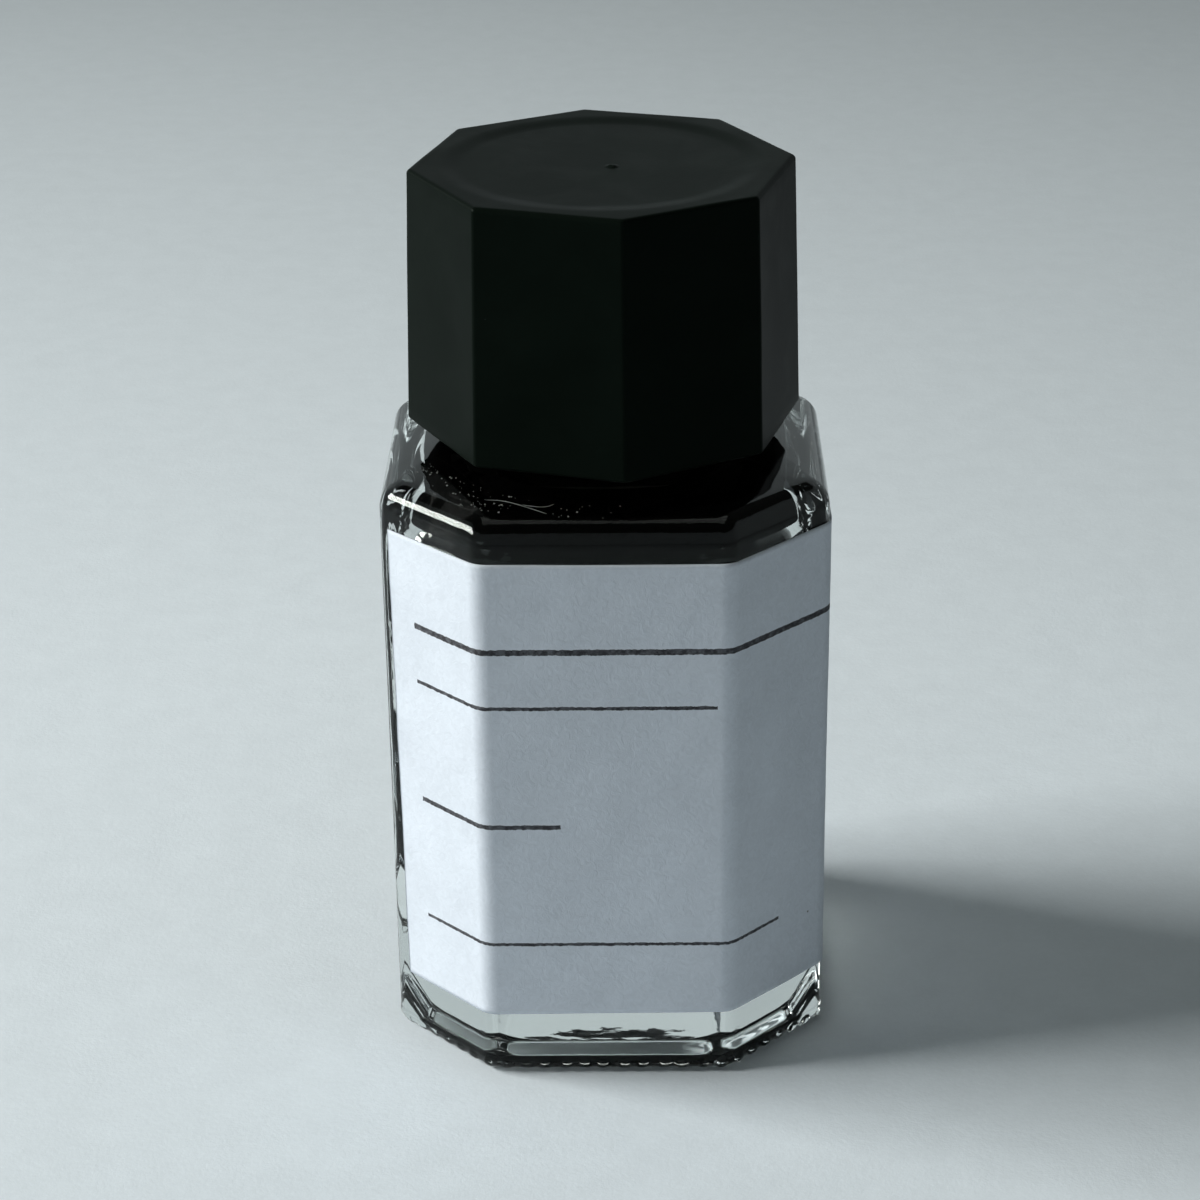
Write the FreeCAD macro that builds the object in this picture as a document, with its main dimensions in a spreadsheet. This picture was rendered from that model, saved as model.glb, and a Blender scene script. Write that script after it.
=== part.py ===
"""Small eight-sided glass ink bottle with a screw cap, as a parametric document in millimetres.

The frame: +Z up, origin at the middle of the foot, the front of the label towards -Y.
Pieces: moulded glass bottle, the ink in it, wrap-round paper label, eight-sided cap shell,
threaded insert snapped into the shell, and the three-ply liner that seals on the bottle's rim
(a foam core between two films).
"""

import FreeCAD, Part
import math
import os
import re

import Sketcher
from FreeCAD import Vector

SIZES = {
    # glass body: a square with cut corners, its upright edges rounded
    "body_width": 30.0,
    "corner_cut": 6.7,
    "corner_round": 1.6,
    "heel_round": 0.9,
    # shoulder: a rounded edge, then a gentle slope that turns from eight-sided to round
    "shoulder_start": 39.8,
    "shoulder_round": 1.9,
    "shoulder_slope": 15.0,
    "shoulder_flat": 1.6,
    # hollow inside
    "wall": 2.6,
    "corner_wall": 2.3,
    "floor_thickness": 8.8,
    "floor_round": 3.0,
    "inner_corner_round": 6.0,
    "inner_shoulder_drop": 2.6,
    "inner_shoulder_round": 2.5,
    "inner_shoulder_slope": 15.0,
    "bore_radius": 5.75,
    "bore_root_round": 0.6,
    "bore_root_flat": 0.15,
    # foot: bearing ring round a shallow recess with a domed roof
    "foot_width": 3.4,
    "recess_depth": 1.05,
    "recess_slope": 30.0,
    "dome_margin": 1.2,
    "dome_rise": 0.1,
    # neck finish with its screw thread
    "neck_radius": 7.8,
    "neck_root_round": 1.4,
    "finish_height": 11.2,
    "rim_round": 0.7,
    "thread_pitch": 3.175,
    "thread_root": 0.3,
    "thread_depth": 1.0,
    "thread_base": 2.0,
    "thread_crest": 0.9,
    "thread_turns": 1.25,
    "thread_drop": 1.2,
    # ink and label
    "ink_drop": 0.7,
    "ink_gap": 0.05,
    "label_length": 60.5,
    "label_bottom": 4.9,
    "label_top_margin": 1.0,
    "label_start": 0.5,
    "label_thickness": 0.1,
    "label_gap": 0.02,
    # cap shell
    "cap_clearance": 1.3,
    "cap_draft": 1.5,
    "cap_wall": 1.2,
    "cap_crown": 1.4,
    "crown_space": 4.0,
    "cap_corner_round": 0.4,
    "cap_edge_round": 0.3,
    "cap_angle": 28.5,
    "dish_margin": 1.6,
    "dish_depth": 0.18,
    "rib_thickness": 0.9,
    "rib_inner_radius": 3.0,
    "hook_height": 0.4,
    "hook_reach": 0.5,
    # threaded insert in the shell
    "insert_wall": 1.3,
    "insert_crown": 1.2,
    "insert_gap": 0.4,
    "insert_clearance": 0.05,
    "skirt_gap": 0.8,
    "thread_clearance": 0.25,
    "thread_play": 0.12,
    "cap_thread_depth": 0.8,
    "cap_thread_base": 1.4,
    "cap_thread_crest": 0.6,
    "cap_thread_turns": 1.5,
    "key_width": 1.6,
    "key_clearance": 0.1,
    # sealing liner
    "liner_core": 0.8,
    "liner_film": 0.1,
    "liner_clearance": 0.1,
    "liner_play": 0.05,
    "liner_bead": 0.5,
}
FACES = 8
ROUND_STEPS = 3
SLOPE_STEPS = 3
ROUNDNESS = 0.96
SHORTEST_EDGE = 1e-6


def shoulder_top(half, ring, start, edge_round, slope):
    """How high a shoulder ends: its rounded edge, then the slope in to the ring."""
    run = f"({half} - {edge_round} * (1 - sin({slope})) - {ring})"
    return f"({start} + {edge_round} * cos({slope}) + {run} * tan({slope}))"


# heights and radii that several pieces share, as expressions of the sheet's cells
BODY_HALF = "(body_width / 2)"
BODY_DIAGONAL = "((body_width - corner_cut) / sqrt(2))"
INNER_HALF = f"({BODY_HALF} - wall)"
INNER_DIAGONAL = f"({BODY_DIAGONAL} - corner_wall)"
SHOULDER_RING = "(neck_radius + neck_root_round + shoulder_flat)"
INNER_RING = "(bore_radius + bore_root_round + bore_root_flat)"
SHOULDER_TOP = shoulder_top(
    BODY_HALF, SHOULDER_RING, "shoulder_start", "shoulder_round", "shoulder_slope"
)
INNER_SHOULDER_START = "(shoulder_start - inner_shoulder_drop)"
INNER_TOP = shoulder_top(
    INNER_HALF, INNER_RING, INNER_SHOULDER_START, "inner_shoulder_round", "inner_shoulder_slope"
)
RIM = f"({SHOULDER_TOP} + finish_height)"
THREAD_START = f"({RIM} - thread_drop - thread_base / 2 - thread_turns * thread_pitch)"
INSERT_BORE = "(neck_radius + thread_depth + thread_clearance)"
INSERT_RADIUS = f"({INSERT_BORE} + insert_wall)"
CAP_BOTTOM = f"({SHOULDER_TOP} + cap_clearance)"
INSERT_BOTTOM = f"({CAP_BOTTOM} + skirt_gap)"
INSERT_CEILING = f"({RIM} + liner_core + 2 * liner_film)"
INSERT_TOP = f"({INSERT_CEILING} + insert_crown)"
CAP_CEILING = f"({INSERT_TOP} + crown_space)"
CAP_TOP = f"({CAP_CEILING} + cap_crown)"
CAP_TOP_HALF = f"({INSERT_RADIUS} + insert_gap + cap_wall)"
CAP_BOTTOM_HALF = f"({CAP_TOP_HALF} + ({CAP_TOP} - {CAP_BOTTOM}) * tan(cap_draft))"
KEY_ANGLE = f"(cap_angle + {180 / FACES})"

doc = FreeCAD.newDocument("ink_bottle")
sheet = doc.addObject("Spreadsheet::Sheet", "sizes")
for row, (alias, number) in enumerate(SIZES.items(), start=1):
    sheet.set(f"A{row}", alias)
    sheet.set(f"B{row}", str(number))
    sheet.setAlias(f"B{row}", alias)
worked_out = doc.addObject("App::VarSet", "worked_out")
worked_out.addProperty("App::PropertyFloat", "number")
doc.recompute()


# ---- expressions


def cells(text):
    """The same expression with each alias written as a cell of the sheet."""
    return re.sub(r"[a-z_]+", lambda word: f"sizes.{word[0]}" if word[0] in SIZES else word[0], text)


def bind(item, name, text):
    item.setExpression(name, cells(text))


def value(text):
    """What an expression comes to, as a plain number."""
    bind(worked_out, "number", text)
    worked_out.recompute()
    return worked_out.number


# ---- sketches


def new_body(label):
    body = doc.addObject("PartDesign::Body", label)
    body.Label = label
    return body


def origin_item(body, role):
    return next(item for item in body.Origin.OriginFeatures if item.Role == role)


def new_sketch(body, name, plane):
    sketch = body.newObject("Sketcher::SketchObject", name)
    sketch.AttachmentSupport = [(origin_item(body, plane), "")]
    sketch.MapMode = "FlatFace"
    return sketch


def dimension(sketch, text, *constraint):
    """A dimension that follows an expression."""
    index = sketch.addConstraint(Sketcher.Constraint(*constraint, value(text)))
    bind(sketch, f"Constraints[{index}]", text)


def face_normal(k):
    angle = math.radians(k * 360 / FACES)
    return Vector(math.cos(angle), math.sin(angle), 0)


def corner_centres(half, diagonal, radius):
    """Centres of the rounded corners: number k lies between the faces k and k + 1, where both
    faces moved in by the radius meet. Even faces are half from the axis, odd ones diagonal."""
    reach = [(diagonal if k % 2 else half) - radius for k in range(FACES)]
    centres = []
    for k in range(FACES):
        n, m = face_normal(k), face_normal(k + 1)
        p, q = reach[k], reach[(k + 1) % FACES]
        det = n.x * m.y - n.y * m.x
        centres.append(Vector((p * m.y - q * n.y) / det, (q * n.x - p * m.x) / det, 0))
    return centres


def octagon(body, name, half, diagonal, rounding, height):
    """A level, rounded eight-sided outline: its even edges are the faces, its odd ones arcs."""
    sketch = new_sketch(body, name, "XY_Plane")
    bind(sketch, "AttachmentOffset.Base.z", height)
    radius = value(rounding)
    centres = corner_centres(value(half), value(diagonal), radius)
    turn = 2 * math.pi / FACES
    for k in range(FACES):
        inset = face_normal(k) * radius
        sketch.addGeometry(Part.LineSegment(centres[k - 1] + inset, centres[k] + inset))
        circle = Part.Circle(centres[k], Vector(0, 0, 1), radius)
        sketch.addGeometry(Part.ArcOfCircle(circle, k * turn, (k + 1) * turn))
    for k in range(FACES):
        face, arc, next_face = 2 * k, 2 * k + 1, (2 * k + 2) % (2 * FACES)
        sketch.addConstraint(Sketcher.Constraint("Tangent", face, 2, arc, 1))
        sketch.addConstraint(Sketcher.Constraint("Tangent", arc, 2, next_face, 1))
        dimension(sketch, diagonal if k % 2 else half, "Distance", -1, 1, face)
        if k % 2:
            along = face_normal(k + 2)
            sketch.addConstraint(Sketcher.Constraint("Angle", face, math.atan2(along.y, along.x)))
        else:
            sketch.addConstraint(Sketcher.Constraint("Horizontal" if k % 4 else "Vertical", face))
        if k:
            sketch.addConstraint(Sketcher.Constraint("Equal", 1, arc))
    dimension(sketch, rounding, "Radius", 1)
    return sketch


def outline(body, name, corners, arcs=None):
    """A closed outline in the XZ plane. corners are (x, z) expressions in order. arcs gives, by
    the number of an edge, its radius and whether its centre is on the left (1) or right (-1)."""
    sketch = new_sketch(body, name, "XZ_Plane")
    arcs = arcs or {}
    points = [Vector(value(x), value(z), 0) for x, z in corners]
    begin, end = [1] * len(corners), [2] * len(corners)
    for i, start in enumerate(points):
        stop = points[(i + 1) % len(points)]
        if i not in arcs:
            sketch.addGeometry(Part.LineSegment(start, stop))
            continue
        radius, side = value(arcs[i][0]), arcs[i][1]
        chord = stop - start
        across = Vector(-chord.y, chord.x, 0).normalize() * side
        centre = (start + stop) * 0.5 + across * math.sqrt(radius**2 - chord.Length**2 / 4)
        if side < 0:
            start, stop = stop, start
            begin[i], end[i] = 2, 1
        turn = [math.atan2(point.y - centre.y, point.x - centre.x) for point in (start, stop)]
        sketch.addGeometry(Part.ArcOfCircle(Part.Circle(centre, Vector(0, 0, 1), radius), *turn))
    for i, (x, z) in enumerate(corners):
        before = (i - 1) % len(corners)
        sketch.addConstraint(Sketcher.Constraint("Coincident", before, end[before], i, begin[i]))
        if x == "0":
            sketch.addConstraint(Sketcher.Constraint("PointOnObject", i, begin[i], -2))
        else:
            dimension(sketch, x, "DistanceX", -1, 1, i, begin[i])
        dimension(sketch, z, "DistanceY", -1, 1, i, begin[i])
    for i, (radius, _) in arcs.items():
        dimension(sketch, radius, "Radius", i)
    return sketch


# ---- features


def add_feature(body, kind, name, grows, bound=None, **settings):
    """Adds a feature, makes it the tip, and stops if the volume changed the wrong way."""
    before = body.Shape.Volume if body.Tip else 0.0
    feature = body.newObject(f"PartDesign::{kind}", name)
    for key, setting in settings.items():
        setattr(feature, key, setting)
    for key, text in (bound or {}).items():
        bind(feature, key, text)
    body.Tip = feature
    doc.recompute()
    change = body.Shape.Volume - before
    if (change if grows else -change) <= 0:
        raise RuntimeError(f"{body.Label}: {name} changed the volume by {change:.3f}")
    return feature


def turned(body, kind, name, profile):
    """A Revolution or a Groove about the upright axis."""
    return add_feature(body, kind, name, kind == "Revolution", Profile=profile,
                       ReferenceAxis=(profile, ["V_Axis"]), Angle=360.0)


def loft(body, kind, name, sections):
    return add_feature(body, kind, name, kind == "AdditiveLoft", Profile=sections[0],
                       Sections=sections[1:])


def ridge(body, radius, side, depth, base, crest, height, turns):
    """A thread: a tapered ridge that stands out (side 1) or in (side -1) from a wall of this
    radius and winds up it. height is the middle of the ridge where it starts, on the X axis."""
    root, tip = f"{radius} - {side} * thread_root", f"{radius} + {side} * {depth}"
    profile = outline(body, "thread_outline", [
        (root, f"{height} - {base} / 2"),
        (tip, f"{height} - {crest} / 2"),
        (tip, f"{height} + {crest} / 2"),
        (root, f"{height} + {base} / 2"),
    ])
    return add_feature(body, "AdditiveHelix", "thread", True, Profile=profile,
                       ReferenceAxis=(profile, ["V_Axis"]), Mode="pitch-turns-angle",
                       bound={"Pitch": "thread_pitch", "Turns": turns})


def round_edges(body, name, radius, height, reach=None):
    """Rounds the tip's edges that are level at this height, or only the circle of radius reach."""
    near = 1e-3
    level, edges = value(height), []
    for i, edge in enumerate(body.Tip.Shape.Edges, start=1):
        box = edge.BoundBox
        wide = reach is None or abs(box.XMax - value(reach)) < near
        if wide and abs(box.ZMin - level) < near and abs(box.ZMax - level) < near:
            edges.append(f"Edge{i}")
    tip = body.Tip
    feature = body.newObject("PartDesign::Fillet", name)
    feature.Base = (tip, edges)
    bind(feature, "Radius", radius)
    body.Tip = feature
    doc.recompute()


def around(body, name, original, count):
    """Repeats a feature evenly round the upright axis."""
    return add_feature(body, "PolarPattern", name, True, Originals=[original],
                       Axis=(origin_item(body, "Z_Axis"), [""]), Angle=360.0, Occurrences=count)


# ---- glass bottle and ink


def shoulder_sections(body, name, half, diagonal, rounding, start, edge_round, slope, ring, shrink):
    """Outlines up a shoulder. On its rounded edge the outline moves in by round x (1 - cos turn)
    and up by round x sin turn, and its corners' radius shrinks by this share of the inset. On the
    slope the eight sides turn into a ring, which keeps a trace of its flats so that every outline
    has the same sixteen edges."""
    sections = []
    for i in range(ROUND_STEPS + 1):
        turn = f"((90 - {slope}) * {i / ROUND_STEPS})"
        inset = f"{edge_round} * (1 - cos({turn}))"
        sections.append(octagon(body, f"{name}_edge_{i}", f"{half} - {inset}",
                                f"{diagonal} - {inset}", f"{rounding} - {shrink} * {inset}",
                                f"{start} + {edge_round} * sin({turn})"))
    inset = f"{edge_round} * (1 - sin({slope}))"
    for i in range(1, SLOPE_STEPS + 1):
        share = i / SLOPE_STEPS
        run = f"({half} - {inset} - {ring}) * {share}"
        sections.append(octagon(body, f"{name}_slope_{i}",
                                f"({half} - {inset}) * {1 - share} + {ring} * {share}",
                                f"({diagonal} - {inset}) * {1 - share} + {ring} * {share}",
                                f"({rounding} - {shrink} * {inset}) * {1 - share}"
                                f" + {ring} * {ROUNDNESS * share}",
                                f"{start} + {edge_round} * cos({slope}) + {run} * tan({slope})"))
    return sections


def add_hollow(body, gap, cut):
    """The hollow's shape, smaller by gap all over: an upright part with a rounded floor, and a
    shoulder. It is cut from the body or added to it."""
    half, diagonal = f"({INNER_HALF} - {gap})", f"({INNER_DIAGONAL} - {gap})"
    rounding, floor = f"(inner_corner_round - {gap})", f"(floor_thickness + {gap})"
    base = octagon(body, "floor_outline", half, diagonal, rounding, floor)
    add_feature(body, "Pocket" if cut else "Pad", "upright_space", not cut, Profile=base,
                Reversed=cut, bound={"Length": f"{INNER_SHOULDER_START} - {floor}"})
    round_edges(body, "floor_edge", f"floor_round - {gap}", floor)
    loft(body, "SubtractiveLoft" if cut else "AdditiveLoft", "shoulder_space",
         shoulder_sections(body, "space", half, diagonal, rounding, INNER_SHOULDER_START,
                           f"(inner_shoulder_round - {gap})", "inner_shoulder_slope", INNER_RING,
                           1))


def add_neck(body):
    neck_reach = "neck_radius + neck_root_round"
    neck = outline(body, "neck_outline", [
        ("0", f"{SHOULDER_TOP} - wall / 4"),
        (neck_reach, f"{SHOULDER_TOP} - wall / 4"),
        (neck_reach, SHOULDER_TOP),
        ("neck_radius", f"{SHOULDER_TOP} + neck_root_round"),
        ("neck_radius", f"{RIM} - rim_round"),
        ("neck_radius - rim_round", RIM),
        ("0", RIM),
    ], {2: ("neck_root_round", -1), 4: ("rim_round", 1)})
    turned(body, "Revolution", "neck", neck)
    ridge(body, "neck_radius", 1, "thread_depth", "thread_base", "thread_crest",
          THREAD_START, "thread_turns")


def add_bore(body):
    bore = outline(body, "bore_outline", [
        ("0", f"{INNER_TOP} - bore_root_round"),
        ("bore_radius", f"{INNER_TOP} - bore_root_round"),
        ("bore_radius", f"{RIM} + rim_round"),
        ("0", f"{RIM} + rim_round"),
    ])
    turned(body, "Groove", "bore", bore)
    round_edges(body, "bore_root", "bore_root_round", INNER_TOP, "bore_radius")


def add_foot_recess(body):
    recess = octagon(body, "recess_outline", f"{BODY_HALF} - foot_width",
                     f"{BODY_DIAGONAL} - foot_width", "corner_round", "0")
    add_feature(body, "Pocket", "recess", False, Profile=recess, Reversed=True,
                bound={"Length": "recess_depth", "TaperAngle": "-recess_slope"})
    dome_radius = f"({BODY_HALF} - foot_width - dome_margin)"
    dome = outline(body, "dome_outline", [
        ("0", "recess_depth / 2"),
        (dome_radius, "recess_depth / 2"),
        (dome_radius, "recess_depth"),
        ("0", "recess_depth + dome_rise"),
    ], {2: (f"({dome_radius} * {dome_radius} + dome_rise * dome_rise) / (2 * dome_rise)", 1)})
    turned(body, "Groove", "dome", dome)


def make_bottle():
    body = new_body("bottle_glass")
    foot = octagon(body, "foot_outline", BODY_HALF, BODY_DIAGONAL, "corner_round", "0")
    add_feature(body, "Pad", "upright_wall", True, Profile=foot,
                bound={"Length": "shoulder_start"})
    round_edges(body, "heel", "heel_round", "0")
    loft(body, "AdditiveLoft", "shoulder",
         shoulder_sections(body, "shoulder", BODY_HALF, BODY_DIAGONAL, "corner_round",
                           "shoulder_start", "shoulder_round", "shoulder_slope", SHOULDER_RING,
                           0))
    add_neck(body)
    add_hollow(body, "0", cut=True)
    add_bore(body)
    add_foot_recess(body)
    return body


def make_ink():
    body = new_body("ink")
    add_hollow(body, "ink_gap", cut=False)
    level = f"({INNER_TOP} - ink_drop)"
    above = octagon(body, "level_outline", BODY_HALF, BODY_DIAGONAL, "corner_round", level)
    add_feature(body, "Pocket", "level", False, Profile=above, Reversed=True,
                bound={"Length": "body_width"})
    return body


# ---- label


def label_edges(offset):
    """Edges of the label on one side, at this offset from the glass: straight along each face
    and round each corner, until the label's length is used up."""
    left, skipped = value("label_length"), value("label_start")
    glass_round = value("corner_round")
    measured_round, radius = glass_round + value("label_gap"), glass_round + offset
    centres = corner_centres(value(BODY_HALF), value(BODY_DIAGONAL), glass_round)
    turn = 2 * math.pi / FACES
    edges = []
    k = FACES // 2 + 1
    while left > SHORTEST_EDGE:
        first, last = centres[(k - 1) % FACES], centres[k % FACES]
        along = face_normal(k + 2)
        start = first + face_normal(k) * radius + along * skipped
        straight = min(left, (last - first).Length - skipped)
        edges.append(Part.LineSegment(start, start + along * straight).toShape())
        left, skipped = left - straight, 0.0
        if left > SHORTEST_EDGE:
            part = min(left / measured_round, turn)
            circle = Part.Circle(last, Vector(0, 0, 1), radius)
            edges.append(Part.ArcOfCircle(circle, k * turn, k * turn + part).toShape())
            left -= part * measured_round
        k += 1
    return edges


def make_label():
    """A strip of paper that starts on the front left corner face and goes round the front and
    the right-hand side to the back."""
    inner = label_edges(value("label_gap"))
    outer = label_edges(value("label_gap + label_thickness"))
    ends = [
        Part.makeLine(inner[0].firstVertex().Point, outer[0].firstVertex().Point),
        Part.makeLine(inner[-1].lastVertex().Point, outer[-1].lastVertex().Point),
    ]
    section = doc.addObject("Part::Feature", "label_section")
    section.Shape = Part.Face(Part.Wire(Part.__sortEdges__(inner + outer + ends)))
    label = doc.addObject("Part::Extrusion", "wrap_label")
    label.Label = "wrap_label"
    label.Base = section
    label.DirMode = "Custom"
    label.Dir = Vector(0, 0, 1)
    label.Solid = True
    bind(label, "LengthFwd", "shoulder_start - label_bottom - label_top_margin")
    bind(label, "Placement.Base.z", "label_bottom")
    return label


# ---- cap


def add_ribs(body):
    """Ribs on the shell's flats: they hold the insert's skirt, hook under it, and stand on top
    of its crown."""
    held_radius = f"({INSERT_RADIUS} + insert_clearance)"
    in_wall = f"({CAP_TOP_HALF} - cap_wall / 2)"
    in_crown = f"({CAP_CEILING} + cap_crown / 2)"
    hook_bottom = f"({INSERT_BOTTOM} - hook_height)"
    profile = outline(body, "rib_outline", [
        ("rib_inner_radius", in_crown),
        ("rib_inner_radius", INSERT_TOP),
        (held_radius, INSERT_TOP),
        (held_radius, INSERT_BOTTOM),
        (f"{INSERT_RADIUS} - hook_reach", INSERT_BOTTOM),
        (held_radius, hook_bottom),
        (in_wall, hook_bottom),
        (in_wall, in_crown),
    ])
    rib = add_feature(body, "Pad", "rib", True, Profile=profile, SideType="Symmetric",
                      bound={"Length": "rib_thickness"})
    around(body, "ribs", rib, FACES)


def make_shell():
    body = new_body("cap_shell")
    outside = octagon(body, "outside", CAP_BOTTOM_HALF, CAP_BOTTOM_HALF, "cap_corner_round",
                      CAP_BOTTOM)
    add_feature(body, "Pad", "block", True, Profile=outside,
                bound={"Length": f"{CAP_TOP} - {CAP_BOTTOM}", "TaperAngle": "-cap_draft"})
    round_edges(body, "crown_edge", "cap_edge_round", CAP_TOP)
    inner_half = f"{CAP_BOTTOM_HALF} - cap_wall"
    inside = octagon(body, "inside", inner_half, inner_half, "cap_corner_round", CAP_BOTTOM)
    add_feature(body, "Pocket", "hollow", False, Profile=inside, Reversed=True,
                bound={"Length": f"{CAP_CEILING} - {CAP_BOTTOM}", "TaperAngle": "-cap_draft"})
    dish_radius = f"({CAP_TOP_HALF} - dish_margin)"
    dish = outline(body, "dish_outline", [
        ("0", f"{CAP_TOP} - dish_depth"),
        (f"{dish_radius} - dish_depth", f"{CAP_TOP} - dish_depth"),
        (f"{dish_radius} + dish_depth", f"{CAP_TOP} + dish_depth"),
        ("0", f"{CAP_TOP} + dish_depth"),
    ])
    turned(body, "Groove", "dish", dish)
    add_ribs(body)
    bind(body, "Placement.Rotation.Angle", "cap_angle")
    return body


def add_keys(body):
    """Fins on the insert that reach into the shell's corners, so that the two turn together."""
    half_turn = 180 / FACES
    reach = (
        f"(({CAP_TOP_HALF} - cap_wall) / cos({half_turn})"
        f" - key_width / 2 * tan({half_turn}) - key_clearance)"
    )
    in_skirt = f"({INSERT_RADIUS} - insert_wall / 2)"
    profile = outline(body, "key_outline", [
        (in_skirt, INSERT_BOTTOM),
        (reach, INSERT_BOTTOM),
        (reach, INSERT_TOP),
        (in_skirt, INSERT_TOP),
    ])
    key = add_feature(body, "Pad", "key", True, Profile=profile, SideType="Symmetric",
                      bound={"Length": "key_width"})
    around(body, "keys", key, FACES)


def make_insert():
    body = new_body("cap_insert")
    ledge = f"({RIM} - liner_play)"
    cup = outline(body, "cup_outline", [
        (INSERT_BORE, INSERT_BOTTOM),
        (INSERT_RADIUS, INSERT_BOTTOM),
        (INSERT_RADIUS, INSERT_TOP),
        ("0", INSERT_TOP),
        ("0", INSERT_CEILING),
        (INSERT_BORE, INSERT_CEILING),
        (INSERT_BORE, ledge),
        (f"{INSERT_BORE} - liner_bead", ledge),
        (INSERT_BORE, f"{ledge} - 2 * liner_bead"),
    ])
    turned(body, "Revolution", "cup", cup)

    # the insert's ridge runs under the neck's, at the distance where their flanks would touch
    # plus the play, and starts where the turned cap's X axis meets the neck's thread
    neck_flank = "(thread_base - thread_crest) / 2 / (thread_depth + thread_root)"
    overlap = "(cap_thread_depth - thread_clearance)"
    spacing = (
        f"(thread_crest / 2 + {overlap} * {neck_flank} + cap_thread_crest / 2 + thread_play)"
    )
    start = f"({THREAD_START} - {spacing} + thread_pitch * {KEY_ANGLE} / 360)"
    ridge(body, INSERT_BORE, -1, "cap_thread_depth", "cap_thread_base", "cap_thread_crest",
          start, "cap_thread_turns")
    add_keys(body)
    bind(body, "Placement.Rotation.Angle", KEY_ANGLE)
    return body


# ---- liner


def disc(label, thickness, height):
    cylinder = doc.addObject("Part::Cylinder", label)
    cylinder.Label = label
    bind(cylinder, "Radius", f"{INSERT_BORE} - liner_clearance")
    bind(cylinder, "Height", thickness)
    bind(cylinder, "Placement.Base.z", height)
    return cylinder


def make_liner():
    core = disc("liner_core", "liner_core", f"{RIM} + liner_film")
    films = doc.addObject("Part::Compound", "liner_films")
    films.Label = "liner_films"
    films.Links = [
        disc("lower_film", "liner_film", RIM),
        disc("upper_film", "liner_film", f"{RIM} + liner_film + liner_core"),
    ]
    return core, films


parts = [make_bottle(), make_ink(), make_label(), make_shell(), make_insert(), *make_liner()]
doc.recompute()

for item in doc.Objects:
    if "Invalid" in item.State or "Error" in item.State:
        raise RuntimeError(f"{item.Label} failed: {item.State}")
for part in parts:
    if part.Shape.isNull() or not part.Shape.isValid() or not part.Shape.Solids:
        raise RuntimeError(f"{part.Label} has no valid shape")

os.makedirs("parts", exist_ok=True)
for part in parts:
    part.Shape.exportStep(f"parts/{part.Label}.step")
    box = part.Shape.BoundBox
    print(f"{part.Label}: {len(part.Shape.Solids)} solid(s), {part.Shape.Volume:.1f} mm3,",
          f"z {box.ZMin:.3f} to {box.ZMax:.3f}, x {box.XMin:.3f} to {box.XMax:.3f}")
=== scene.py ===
import math

import bpy
import numpy as np
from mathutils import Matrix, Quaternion, Vector


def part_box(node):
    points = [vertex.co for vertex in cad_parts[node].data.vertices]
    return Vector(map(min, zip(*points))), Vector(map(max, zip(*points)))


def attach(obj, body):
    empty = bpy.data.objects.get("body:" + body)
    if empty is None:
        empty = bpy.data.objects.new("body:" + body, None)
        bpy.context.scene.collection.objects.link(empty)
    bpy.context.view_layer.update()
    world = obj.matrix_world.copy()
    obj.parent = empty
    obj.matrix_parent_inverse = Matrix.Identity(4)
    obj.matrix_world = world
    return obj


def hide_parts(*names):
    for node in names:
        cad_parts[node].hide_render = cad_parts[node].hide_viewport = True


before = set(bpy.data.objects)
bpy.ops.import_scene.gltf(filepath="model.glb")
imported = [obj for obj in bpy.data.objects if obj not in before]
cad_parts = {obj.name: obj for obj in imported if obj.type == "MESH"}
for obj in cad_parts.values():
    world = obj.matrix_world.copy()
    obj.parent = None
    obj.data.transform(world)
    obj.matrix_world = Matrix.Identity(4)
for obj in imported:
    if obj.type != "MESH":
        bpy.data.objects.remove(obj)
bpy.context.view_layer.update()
scene = bpy.context.scene
mm = 0.001  # sizes in this script are millimetres, meshes are metres
faceCount = 8
fullTurn = 2 * math.pi


def nodeBox(name):
    # lowest and highest corner of a part of the frame, in millimetres
    low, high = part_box(name)
    return np.array(low) / mm, np.array(high) / mm


glassHigh = nodeBox("bottle_glass")[1]
inkLow, inkHigh = nodeBox("ink")
labelLow, labelHigh = nodeBox("wrap_label")
shellLow, shellHigh = nodeBox("cap_shell")
insertLow, insertHigh = nodeBox("cap_insert")


# A row is one level outline: how far the four wide faces and the four corner faces stand from the
# axis, the corner rounding, how round the whole outline is (0 to 1), its height, and its ripple.
def ringRow(radius, height, ripple=0.0):
    return np.array([radius, radius, radius, 1.0, height, ripple])


def cutRow(half, diagonal, rounding, height, ripple=0.0):
    return np.array([half, diagonal, rounding, 0.0, height, ripple])


def evenly(count):
    # equal shares of a straight leg, across and up
    share = np.linspace(0, 1, count + 1)[1:]
    return share, share


def rounded(count, first, last):
    # shares across and up along a circular arc, between two turns in degrees
    turn = np.radians(first + (last - first) * evenly(count)[0])
    start, end = math.radians(first), math.radians(last)
    across = (np.cos(turn) - math.cos(start)) / (math.cos(end) - math.cos(start))
    up = (np.sin(turn) - math.sin(start)) / (math.sin(end) - math.sin(start))
    return across, up


def domed(count):
    # shares of a flat dome: it falls with the square of the distance from its top
    share = evenly(count)[0]
    return share, share ** 2


def eased(count):
    # shares of a soft step: it leaves and arrives level, as half a cosine wave does
    share = evenly(count)[0]
    return share, (1 - np.cos(math.pi * share)) / 2


def profileRows(start, legs):
    # rows along legs; each leg runs from the last row to its own end row by its shares
    rows = [start[None]]
    for end, (across, up) in legs:
        shares = np.stack([across, across, across, across, up, across], axis=1)
        rows.append(rows[-1][-1] + (end - rows[-1][-1]) * shares)
    return np.concatenate(rows)


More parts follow.
